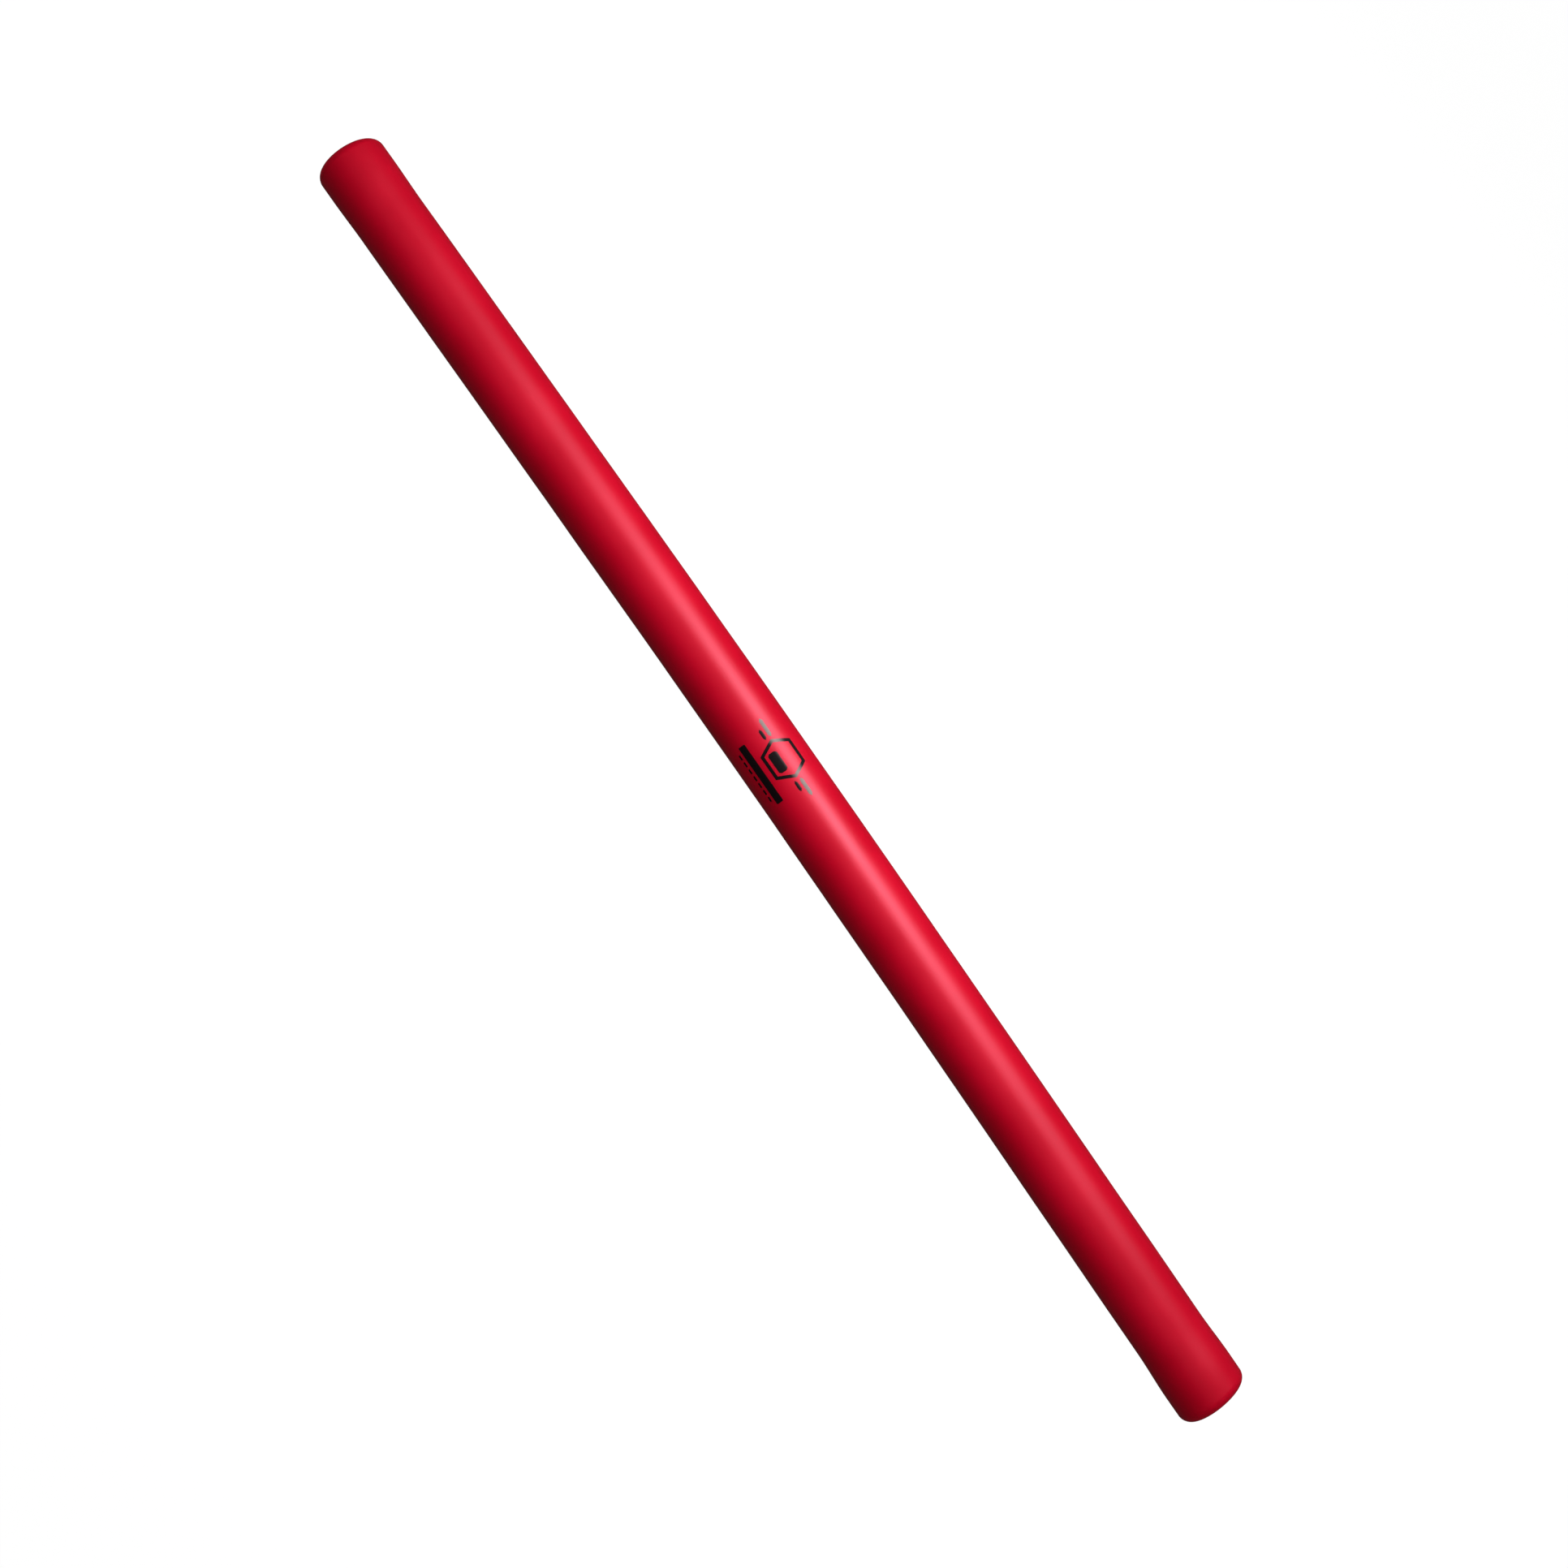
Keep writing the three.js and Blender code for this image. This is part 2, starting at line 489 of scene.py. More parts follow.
@dataclass(frozen=True)
class DippedVinyl:
    """Soft vinyl from a dip tank: satin crimson with a faint orange-peel.

    Attributes:
        body: The main colour.
        thin: The colour where the coat is thinner.
        scuffed: The colour of dry scuffs.
        roughness: Roughness of the clean surface.
        shine: Specular level, which is the same all over.
        shine_tint: Colour of the reflection seen head on.
        mottle: Size of the thinner patches.
        speckle: Size of the finest grain.
        peel_size: Size of the orange-peel's waves.
        peel_depth: Height of the orange-peel's waves.
        scuff_width: Width of a lengthwise scuff.
        scuff_stretch: Factor along the stick that draws the scuffs out.
        scuff_patch: Size of the patches that the scuffs come in.
        wear: Size of the worn spots on the rims.
        rim_start: Distance from the middle of the stick to where rim wear begins.
        rim_end: Distance from the middle of the stick to where rim wear is strongest.
    """

    body: Colour = (0.6, 0.0006, 0.0172)
    thin: Colour = (0.65, 0.001, 0.02)
    scuffed: Colour = (0.62, 0.008, 0.03)
    roughness: float = 0.36
    shine: float = 0.25
    shine_tint: Colour = (1.0, 0.36, 0.48)
    mottle: float = 34 * MM
    speckle: float = 0.5 * MM
    peel_size: float = 1.5 * MM
    peel_depth: float = 0.006 * MM
    scuff_width: float = 1.1 * MM
    scuff_stretch: float = 0.035
    scuff_patch: float = 21 * MM
    wear: float = 2.4 * MM
    rim_start: float = 322 * MM
    rim_end: float = 329 * MM

    def material(self) -> bpy.types.Material:
        """Make the material.

        Returns:
            The material.
        """
        bench = ShaderBench("dipped_vinyl")
        mottle = bench.ramp(bench.noise(self.mottle, 3.0), 0.34, 0.68)
        speckle = bench.noise(self.speckle, 1.0)
        lengthwise = bench.noise(self.scuff_width, 2.0, (self.scuff_stretch, 1, 1))
        patches = bench.ramp(bench.noise(self.scuff_patch), 0.52, 0.66)
        scuffs = bench.ramp(lengthwise, 0.66, 0.8) * patches
        rim = bench.ramp(abs(bench.along("X")), self.rim_start, self.rim_end)
        wear = rim * bench.ramp(bench.noise(self.wear, 3.0), 0.5, 0.75)
        dull = (0.5 * scuffs).larger(0.7 * wear)
        clean = bench.blend(mottle, self.body, self.thin)
        peel = bench.noise(self.peel_size, 1.0)
        height = 0.8 * peel + 0.2 * speckle - 0.3 * scuffs
        bench.feed(
            bench.shader,
            {
                "Base Color": bench.blend(dull, clean, self.scuffed),
                "Roughness": self.roughness - 0.03 + 0.04 * speckle + 0.03 * mottle + 0.1 * dull,
                "Normal": bench.bump(height, self.peel_depth),
                "Specular IOR Level": self.shine,
                "Specular Tint": (*self.shine_tint, 1),
            },
        )
        return bench.material


@dataclass(frozen=True)
class PrintInk:
    """Transfer ink: black, with a painted highlight: a grey band where the highlight streak
    crosses the print.

    Attributes:
        black: Colour of the dark ink.
        highlight_grey: Colour of the painted highlight, a reflection of the soft light painted
            into the ink.
        band: Place across the stick where the painted highlight is brightest, on the line of the
            highlight streak.
        highlight_reach: Distance at which the painted highlight has faded out.
        roughness: Roughness of the film.
        shine: Specular level of the film.
    """

    black: Colour = (0.008, 0.005, 0.006)
    highlight_grey: Colour = (0.34, 0.26, 0.25)
    band: float = 6.6 * MM
    highlight_reach: float = 3.6 * MM
    roughness: float = 0.42
    shine: float = 0.03

    def material(self) -> bpy.types.Material:
        """Make the material.

        Returns:
            The material.
        """
        bench = ShaderBench("print_ink")
        # Painted highlight: grey, brightest along the line of the highlight streak and fading to
        # black, with lengthwise streaks.
        head = bench.ramp(abs(bench.along("Y") - self.band), self.highlight_reach, 0.0)
        highlight_streaks = bench.noise(0.5 * MM, 2.0, (0.12, 1, 1))
        grain = bench.noise(0.12 * MM, 1.0)
        share = head * (0.75 + 0.5 * highlight_streaks)
        bench.feed(
            bench.shader,
            {
                "Base Color": bench.blend(share, self.black, self.highlight_grey),
                "Roughness": self.roughness + 0.08 * grain,
                "Normal": bench.bump(grain, 0.002 * MM),
                "Specular IOR Level": self.shine,
            },
        )
        return bench.material


@dataclass(frozen=True)
class CellFoam:
    """Closed-cell foam rubber, matt charcoal, with fine cells of uneven size and painted shade
    in their pits.

    Attributes:
        light: Colour of the cell walls.
        dark: Painted shade inside the cut cells' pits.
        cell: Size of the larger cells.
        roughness: Roughness of the surface.
    """

    light: Colour = (0.034, 0.035, 0.038)
    dark: Colour = (0.009, 0.009, 0.01)
    cell: float = 0.42 * MM
    roughness: float = 0.92

    def material(self) -> bpy.types.Material:
        """Make the material.

        Returns:
            The material.
        """
        bench = ShaderBench("cell_foam")
        # Painted shade: each cell's pit is coloured darker than its walls, for the shade that
        # falls in it.
        large = bench.ramp(bench.cells(self.cell), 0.1, 0.62)
        small = bench.ramp(bench.cells(self.cell * 0.45), 0.1, 0.7)
        walls = 0.65 * large + 0.35 * small
        cloud = bench.noise(9 * MM, 3.0)
        bench.feed(
            bench.shader,
            {
                "Base Color": bench.blend(walls * (0.7 + 0.6 * cloud), self.dark, self.light),
                "Roughness": self.roughness - 0.08 * cloud,
                "Normal": bench.bump(walls, 0.12 * MM, 0.8),
                "Specular IOR Level": 0.25,
            },
        )
        return bench.material


@dataclass(frozen=True)
class ExtrudedPlastic:
    """Rigid off-white plastic with the lengthwise lines of its die.

    Attributes:
        pale: The main colour.
        grimy: Colour of handling marks.
        roughness: Roughness of the surface.
    """

    pale: Colour = (0.68, 0.67, 0.61)
    grimy: Colour = (0.5, 0.48, 0.42)
    roughness: float = 0.38

    def material(self) -> bpy.types.Material:
        """Make the material.

        Returns:
            The material.
        """
        bench = ShaderBench("extruded_plastic")
        lines = bench.noise(0.7 * MM, 3.0, (0.004, 1, 1))
        marks = bench.ramp(bench.noise(14 * MM, 4.0), 0.55, 0.8)
        bench.feed(
            bench.shader,
            {
                "Base Color": bench.blend(0.6 * marks + 0.15 * lines, self.pale, self.grimy),
                "Roughness": self.roughness + 0.12 * lines + 0.1 * marks,
                "Normal": bench.bump(lines, 0.02 * MM),
            },
        )
        return bench.material


@dataclass(frozen=True)
class MouldedPlastic:
    """Black moulded plastic with the fine texture of an eroded mould.

    Attributes:
        black: The main colour.
        bloom: Colour of the pale bloom on handled faces.
        roughness: Roughness of the surface.
    """

    black: Colour = (0.014, 0.014, 0.016)
    bloom: Colour = (0.045, 0.046, 0.05)
    roughness: float = 0.5

    def material(self) -> bpy.types.Material:
        """Make the material.

        Returns:
            The material.
        """
        bench = ShaderBench("moulded_plastic")
        texture = bench.noise(0.18 * MM, 2.0)
        cloud = bench.ramp(bench.noise(5 * MM, 3.0), 0.45, 0.8)
        bench.feed(
            bench.shader,
            {
                "Base Color": bench.blend(cloud, self.black, self.bloom),
                "Roughness": self.roughness + 0.15 * texture,
                "Normal": bench.bump(texture, 0.01 * MM),
            },
        )
        return bench.material


@dataclass(frozen=True)
class PaleFloor:
    """A near white floor that glows, so that it shows only the faintest shadows.

    Attributes:
        glow: Brightness of the glow.
        dark: Colour of its darker clouds, which only the lights brighten.
        pale: Colour of its paler clouds.
        cloud: Size of the clouds.
        roughness: Roughness of the surface.
    """

    glow: float
    dark: Colour = (0.06, 0.06, 0.06)
    pale: Colour = (0.066, 0.066, 0.066)
    cloud: float = 400 * MM
    roughness: float = 0.9

    def material(self) -> bpy.types.Material:
        """Make the material.

        Returns:
            The material.
        """
        bench = ShaderBench("pale_floor")
        bench.feed(
            bench.shader,
            {
                "Base Color": bench.blend(bench.noise(self.cloud), self.dark, self.pale),
                "Roughness": self.roughness,
                "Specular IOR Level": 0.0,
                "Emission Color": (1, 1, 1, 1),
                "Emission Strength": self.glow,
            },
        )
        return bench.material


# ---------------------------------------------------------------------------------------------
# Modelling
# ---------------------------------------------------------------------------------------------


@dataclass
class Workshop:
    """The modelling steps that every piece shares.

    Attributes:
        sizes: The stick's main sizes.
        bow: How far the middle of the stick stands off the line between its ends, along +Y.
        askew: Turn of each end's rounded part about +Z.
    """

    sizes: StickSizes
    bow: float = 2.2 * MM
    askew: dict[Side, float] = field(
        default_factory=lambda: {Side.LEFT: math.radians(-1.5), Side.RIGHT: math.radians(4.5)}
    )

    def begin(self, name: str, add: Callable[..., set], **settings: object) -> bpy.types.Object:
        """Add a primitive and enter edit mode with all of it selected.

        Args:
            name: The new piece's name.
            add: The operator that adds the primitive.
            **settings: The operator's settings.

        Returns:
            The new piece, with its place in its mesh.
        """
        bpy.ops.object.select_all(action="DESELECT")
        add(**settings)
        piece = bpy.context.active_object
        piece.name = name
        piece.data.name = name
        bpy.ops.object.transform_apply(location=True, rotation=True, scale=True)
        bpy.ops.object.mode_set(mode="EDIT")
        bpy.ops.mesh.select_mode(type="VERT")
        bpy.ops.mesh.select_all(action="SELECT")
        return piece

    def turn(
        self, name: str, outline: Sequence[Point], facets: int, cuts: int = 0
    ) -> bpy.types.Object:
        """Turn an outline about the stick's axis into a closed solid.

        Args:
            name: The new piece's name.
            outline: Points of place along X and radius. It starts and ends on the axis, or its
                last point is its first one again.
            facets: Number of facets around.
            cuts: Cuts along the outline's long straight stretches.

        Returns:
            The new piece, in object mode.
        """
        x, radius = outline[0]
        piece = self.begin(
            name,
            bpy.ops.mesh.primitive_plane_add,
            size=MM,
            location=(x, 0, self.sizes.axis + radius),
        )
        bpy.ops.mesh.merge(type="CENTER")
        for (x, radius), (next_x, next_radius) in zip(outline, outline[1:]):
            step = (next_x - x, 0, next_radius - radius)
            bpy.ops.mesh.extrude_vertices_move(TRANSFORM_OT_translate={"value": step})
        if cuts:
            self.select_edges(piece, lambda edge: edge.calc_length() > self.sizes.joint)
            bpy.ops.mesh.subdivide(number_cuts=cuts)
        bpy.ops.mesh.select_all(action="SELECT")
        bpy.ops.mesh.spin(
            steps=facets, angle=2 * math.pi, center=(0, 0, self.sizes.axis), axis=(1, 0, 0)
        )
        self.close(piece)
        return piece

    def close(self, piece: bpy.types.Object) -> None:
        """Merge doubles, point the faces outwards, leave edit mode and smooth the shading.

        Args:
            piece: The piece that is in edit mode.
        """
        bpy.ops.mesh.select_all(action="SELECT")
        bpy.ops.mesh.remove_doubles(threshold=MERGE_DISTANCE)
        bpy.ops.mesh.normals_make_consistent(inside=False)
        bpy.ops.object.mode_set(mode="OBJECT")
        self.smooth(piece)

    def smooth(self, piece: bpy.types.Object) -> None:
        """Smooth the shading except over sharp edges."""
        self.pick(piece)
        bpy.ops.object.shade_smooth_by_angle(angle=SMOOTH_ANGLE)

    def tilt_end(self, piece: bpy.types.Object, side: Side, start: float) -> None:
        """Tilt the rounded part of an end, as a pad that was glued on slightly askew.

        Args:
            piece: The piece to tilt, in object mode.
            side: The end that tilts.
            start: Distance from the middle to where the tilted part begins.
        """
        self.pick(piece)
        bpy.ops.object.mode_set(mode="EDIT")
        bpy.ops.mesh.select_mode(type="VERT")
        bpy.ops.mesh.select_all(action="DESELECT")
        mesh = bmesh.from_edit_mesh(piece.data)
        for vertex in mesh.verts:
            vertex.select_set(side.value * vertex.co.x > start)
        bmesh.update_edit_mesh(piece.data)
        bpy.ops.transform.rotate(
            value=-self.askew[side],
            orient_axis="Z",
            center_override=(side.value * start, 0, self.sizes.axis),
        )
        bpy.ops.object.mode_set(mode="OBJECT")

    def pick(self, *pieces: bpy.types.Object) -> None:
        """Select these pieces alone and make the first one active."""
        bpy.ops.object.select_all(action="DESELECT")
        for piece in pieces:
            piece.select_set(True)
        bpy.context.view_layer.objects.active = pieces[0]

    def select_edges(
        self, piece: bpy.types.Object, wanted: Callable[[bmesh.types.BMEdge], bool]
    ) -> None:
        """Select edges in edit mode.

        Args:
            piece: The piece that is in edit mode.
            wanted: Tells whether an edge is selected.
        """
        bpy.ops.mesh.select_mode(type="EDGE")
        bpy.ops.mesh.select_all(action="DESELECT")
        mesh = bmesh.from_edit_mesh(piece.data)
        for edge in mesh.edges:
            edge.select_set(wanted(edge))
        bmesh.update_edit_mesh(piece.data)

    def modify(self, piece: bpy.types.Object, kind: str, **settings: object) -> None:
        """Add a modifier and apply it.

        Args:
            piece: The piece to modify, in object mode.
            kind: The modifier's type.
            **settings: The modifier's settings.
        """
        self.pick(piece)
        modifier = piece.modifiers.new(kind.lower(), kind)
        for name, value in settings.items():
            setattr(modifier, name, value)
        bpy.ops.object.modifier_apply(modifier=modifier.name)

    def bow_line(self) -> bpy.types.Object:
        """Draw the bowed axis: a curve that starts at the left tip and bulges towards +Y.

        Returns:
            The curve, whose first point is its own origin.
        """
        bpy.ops.object.select_all(action="DESELECT")
        reach = self.sizes.tip
        bpy.ops.curve.primitive_bezier_curve_add(location=(-reach, 0, 0))
        line = bpy.context.active_object
        line.name = "bow_line"
        half = self.bow / 2
        # Handles this high lift the middle of a cubic curve from -half to +half.
        handle = half * 5 / 3
        first, last = line.data.splines[0].bezier_points
        for point in (first, last):
            point.handle_left_type = point.handle_right_type = "FREE"
        first.co = (0, -half, 0)
        first.handle_left = (-reach, -2 * half - handle, 0)
        first.handle_right = (reach, handle, 0)
        last.co = (2 * reach, -half, 0)
        last.handle_left = (reach, handle, 0)
        last.handle_right = (3 * reach, -2 * half - handle, 0)
        line.data.resolution_u = 64
        line.data.use_stretch = False
        return line

    def bend(self, pieces: Sequence[bpy.types.Object]) -> None:
        """Bend finished pieces along the bowed axis.

        Args:
            pieces: All the pieces of the stick.
        """
        line = self.bow_line()
        for piece in pieces:
            self.modify(piece, "CURVE", object=line, deform_axis="POS_X")
        bpy.data.objects.remove(line)


def install(
    piece: bpy.types.Object, material: bpy.types.Material, slot: str, *nodes: str
) -> bpy.types.Object:
    """Dress a piece and let it stand for its CAD nodes.

    Args:
        piece: The finished piece.
        material: Its material.
        slot: Name of a material slot; not used.
        *nodes: The CAD nodes that it stands for.

    Returns:
        The same piece.
    """
    piece.data.materials.clear()
    piece.data.materials.append(material)
    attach(piece, BODY)
    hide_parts(*nodes)
    log.info("%s: %d faces, for %s", piece.name, len(piece.data.polygons), ", ".join(nodes))
    return piece


# ---------------------------------------------------------------------------------------------
# The stick
# ---------------------------------------------------------------------------------------------


@dataclass
class Core:
    """The rigid core: a plastic tube with a plug pressed into each end.

    Attributes:
        shop: The shared modelling steps.
        bore: Radius of the tube's bore.
        edge: Chamfer on the tube's sawn edges.
        fit: Gap between the plug's ribs and the bore.
        head: Thickness of the plug's head.
        stem: Length of the plug's stem.
        stem_radius: Radius of the stem between its ribs.
        cup: Radius of the hollow in the stem.
        floor: Thickness left between the hollow and the head.
        ribs: Number of barbed ribs.
        rib_pitch: Distance from rib to rib.
        lead: Length of the taper that starts the stem into the bore.
        soft: Rounding of the plug's moulded edges.
        gate: Radius of the sunk gate mark in the middle of the head.
        dimple: Depth of that mark.
        facets: Facets around each piece.
        parts: The finished pieces.
    """

    shop: Workshop
    bore: float = 7.0 * MM
    edge: float = 0.35 * MM
    fit: float = 0.1 * MM
    head: float = 3.0 * MM
    stem: float = 18.0 * MM
    stem_radius: float = 6.3 * MM
    cup: float = 4.6 * MM
    floor: float = 1.5 * MM
    ribs: int = 3
    rib_pitch: float = 5.0 * MM
    lead: float = 1.0 * MM
    soft: float = 0.3 * MM
    gate: float = 1.2 * MM
    dimple: float = 0.35 * MM
    facets: int = 96
    parts: list[bpy.types.Object] = field(default_factory=list)

    def tube_outline(self) -> list[Point]:
        """Outline the tube's wall, with its sawn edges chamfered.

        Returns:
            Points of place along X and radius, the last one the first again.
        """
        end, outer = self.shop.sizes.tube_end, self.shop.sizes.tube
        right = [
            (end - self.edge, outer),
            (end, outer - self.edge),
            (end, self.bore + self.edge),
            (end - self.edge, self.bore),
        ]
        left = [(-place, radius) for place, radius in reversed(right)]
        return [*right, *left, right[0]]

    def plug_outline(self) -> list[Point]:
        """Outline the right-hand plug, from the floor of its hollow round to its head's middle.

        Returns:
            Points of place along X and radius.
        """
        joint, outer = self.shop.sizes.joint, self.shop.sizes.tube
        back = joint - self.head
        tip = back - self.stem
        soft = self.soft
        outline = [
            (back + self.floor, 0.0),
            (back + self.floor, self.cup - soft),
            (back + self.floor - soft, self.cup),
            (tip + soft, self.cup),
            (tip, self.cup + soft),
            (tip, self.stem_radius - self.lead / 2),
            (tip + self.lead, self.stem_radius),
        ]
        crest_radius = self.bore - self.fit
        for rib in range(self.ribs):
            start = tip + 2 * self.lead + rib * self.rib_pitch
            crest = start + self.rib_pitch / 2
            outline += [
                (start, self.stem_radius),
                (crest - soft / 2, crest_radius),
                (crest, crest_radius - soft / 2),
                (crest, self.stem_radius),
            ]
        outline += [
            (back, self.stem_radius),
            (back, outer - soft),
            (back + soft, outer),
            (joint - 2 * soft, outer),
            (joint - 0.6 * soft, outer - 0.6 * soft),
            (joint, outer - 2 * soft),
            (joint, self.gate + self.dimple),
            (joint - self.dimple, self.gate),
            (joint - self.dimple, 0.0),
        ]
        return outline

    def build(self) -> list[bpy.types.Object]:
        """Build and dress the tube and both plugs.

        Returns:
            The three pieces.
        """
        tube = self.shop.turn("stiffener_tube", self.tube_outline(), self.facets, cuts=90)
        install(tube, ExtrudedPlastic().material(), "core_plastic", "core_tube")
        self.parts.append(tube)
        moulded = MouldedPlastic().material()
        right = self.plug_outline()
        for side in Side:
            outline = right if side is Side.RIGHT else mirrored(right)
            name = side.name.lower()
            plug = self.shop.turn(f"tube_stopper_{name}", outline, self.facets)
            install(plug, moulded, "plug_plastic", f"core_plug_{name}")
            self.parts.append(plug)
        return self.parts


@dataclass
class Padding:
    """The foam: a sleeve over the tube and a rounded pad over each end.

    Attributes:
        shop: The shared modelling steps.
        end: The shared outline of the stick's ends.
        glue: Thickness of the glue line between the sleeve and the tube.
        cut: Rounding of the foam's cut edges.
        facets: Facets around each piece.
        fill: How full the foam is; not used.
        parts: The finished pieces.
    """

    shop: Workshop
    end: EndShape
    glue: float = 0.1 * MM
    cut: float = 0.25 * MM
    facets: int = 96
    fill: float = 1.0
    parts: list[bpy.types.Object] = field(default_factory=list)

    def sleeve_outline(self) -> list[Point]:
        """Outline the sleeve's wall, which follows the skin outside and the tube inside.

        Returns:
            Points of place along X and radius, the last one the first again.
        """
        sizes = self.shop.sizes
        bore = sizes.tube + self.glue
        depth = sizes.foam_depth
        side = sizes.swell - depth
        right = [
            *self.end.swell_outline(depth),
            (sizes.joint - self.cut, side),
            (sizes.joint, side - self.cut),
            (sizes.joint, bore + self.cut),
            (sizes.joint - self.cut, bore),
        ]
        left = [(-place, radius) for place, radius in reversed(right)]
        return [*right, *left, right[0]]

    def pad_outline(self) -> list[Point]:
        """Outline the right-hand pad, from the middle of its flat back round to its tip.

        Returns:
            Points of place along X and radius.
        """
        sizes = self.shop.sizes
        depth = sizes.foam_depth
        side = sizes.swell - depth
        return [
            (sizes.pad_back, 0.0),
            (sizes.pad_back, side / 2),
            (sizes.pad_back, side - self.cut),
            (sizes.pad_back + self.cut, side),
            *self.end.rounded_outline(depth),
        ]

    def build(self) -> list[bpy.types.Object]:
        """Returns:
            The three pieces.
        """
        foam = CellFoam().material()
        sleeve = self.shop.turn("padding_sleeve", self.sleeve_outline(), self.facets, cuts=90)
        install(sleeve, foam, "foam", "foam_sleeve")
        self.parts.append(sleeve)
        right = self.pad_outline()
        for side in Side:
            outline = right if side is Side.RIGHT else mirrored(right)
            name = side.name.lower()
            pad = self.shop.turn(f"padding_cap_{name}", outline, self.facets)
            self.shop.tilt_end(pad, side, self.end.rim_start() - self.end.swell_margin)
            install(pad, foam, "foam", f"end_pad_{name}")
            self.parts.append(pad)
        return self.parts


@dataclass
class Skin:
    """The dipped vinyl skin, with the marks that dipping leaves at its two tips.

    Attributes:
        shop: The shared modelling steps.
        end: The shared outline of the stick's ends.
        wall: Thickness of the skin.
        drained: How much thinner the upper, left end drained while the stick hung to dry.
        gathered: How much thicker the lower, right end grew.
        hole: Radius of the hole left by the dipping wire, in the left tip.
        lip: Height of the vinyl drawn up round that hole.
        lip_reach: Radius at which the lip has died away.
        drip: Height of the last drop, on the right tip.
        drip_reach: Radius at which the drop has died away.
        uneven: Height of the slow waves along the barrel.
        wave: Length of those waves.
        still: Level of the waves' noise at which the surface stays where it is.
        fade: Length over which the waves die away towards a swell.
        bump_steps: Steps in the outline of the lip and of the drop.
        facets: Facets around the skin.
    """

    shop: Workshop
    end: EndShape
    wall: float = 0.8 * MM
    drained: float = 0.1 * MM
    gathered: float = 0.17 * MM
    hole: float = 0.8 * MM
    lip: float = 0.22 * MM
    lip_reach: float = 2.6 * MM
    drip: float = 0.4 * MM
    drip_reach: float = 3.2 * MM
    uneven: float = 0.16 * MM
    wave: float = 42 * MM
    still: float = 0.2
    fade: float = 18.4 * MM
    bump_steps: int = 8
    facets: int = 128

    def bumped_end(
        self, thicker: float, height: float, reach: float, last_radius: float = 0.0
    ) -> list[Point]:
        """Outline the outside of a right-hand end, with a smooth bump on its tip.

        Args:
            thicker: How much further out the swollen part stands.
            height: Height of the bump's top.
            reach: Radius at which the bump has died away.
            last_radius: Radius at which the outline stops.

        Returns:
            Points of place along X and radius, from the barrel to the tip.
        """
        dome = self.end.dome + thicker
        centre = self.shop.sizes.tip - self.end.dome
        outline = self.end.whole(0.0, reach, thicker)
        for step in range(1, self.bump_steps + 1):
            radius = reach + step / self.bump_steps * (last_radius - reach)
            rise = height * (1 + math.cos(math.pi * radius / reach)) / 2
            outline.append((centre + math.sqrt(dome**2 - radius**2) + rise, radius))
        return outline

    def outline(self) -> list[Point]:
        """Outline the whole wall: along the inside from the right tip to the hole, and back.

        Returns:
            Points of place along X and radius.
        """
        inside = [*mirrored(self.end.whole(self.wall, self.hole)), *self.end.whole(self.wall)]
        upper = self.bumped_end(-self.drained, self.lip, self.lip_reach, self.hole)
        lower = self.bumped_end(self.gathered, self.drip, self.drip_reach)
        return [*reversed(inside), *mirrored(upper), *lower]

    def build(self) -> bpy.types.Object:
        """Build and dress the skin.

        Returns:
            The skin.
        """
        skin = self.shop.turn("dipped_skin", self.outline(), self.facets, cuts=150)
        waves = bpy.data.textures.new("slow_waves", "CLOUDS")
        waves.noise_scale = self.wave
        waves.noise_depth = 1
        barrel = skin.vertex_groups.new(name="barrel")
        inner = self.shop.sizes.barrel - self.wall / 2
        for vertex in skin.data.vertices:
            place = vertex.co - Vector((0, 0, self.shop.sizes.axis))
            if math.hypot(place.y, place.z) > inner:
                share = (self.end.swell_start - abs(place.x)) / self.fade
                barrel.add([vertex.index], min(1.0, max(0.0, share)), "REPLACE")
        self.shop.modify(
            skin,
            "DISPLACE",
            texture=waves,
            texture_coords="LOCAL",
            strength=self.uneven,
            mid_level=self.still,
            vertex_group=barrel.name,
        )
        for side in Side:
            self.shop.tilt_end(skin, side, self.end.rim_start() - self.end.swell_margin)
        self.shop.smooth(skin)
        return install(skin, DippedVinyl().material(), "vinyl", "vinyl_skin")


@dataclass(frozen=True)
class Patch:
    """An outline on the unrolled barrel, as the straight sides that trim it.

    Attributes:
        length: Size along the stick.
        height: Size round the barrel.
        middle: Place of its middle round the barrel, from the top towards +Y.
        corner: How much is cut off each corner along the stick.
        corner_height: How much is cut off each corner round the barrel.
        offset: Place of its middle along the stick, from the middle of the print.
    """

    length: float
    height: float
    middle: float
    corner: float
    corner_height: float
    offset: float = 0.0

    def sides(self) -> list[tuple[Point, Point]]:
        """List the straight sides.

        Returns:
            A point on each side, and the side's outward direction.
        """
        half_length, half_height = self.length / 2, self.height / 2
        sides = [
            ((half_length, 0.0), (1.0, 0.0)),
            ((-half_length, 0.0), (-1.0, 0.0)),
            ((0.0, half_height), (0.0, 1.0)),
            ((0.0, -half_height), (0.0, -1.0)),
        ]
        slant = math.hypot(self.corner, self.corner_height)
        for along in (-1, 1):
            for up in (-1, 1):
                point = (
                    along * (half_length - self.corner / 2),
                    up * (half_height - self.corner_height / 2),
                )
                outward = (along * self.corner_height / slant, up * self.corner / slant)
                sides.append((point, outward))
        return sides


def row(patch: Patch, count: int, pitch: float) -> list[Patch]:
    """Repeat a patch along the stick, centred on its own place.

    Args:
        patch: The patch to repeat.
        count: How many there are.
        pitch: Distance from one to the next.

    Returns:
        The patches.
    """
    first = patch.offset - (count - 1) * pitch / 2
    return [replace(patch, offset=first + index * pitch) for index in range(count)]


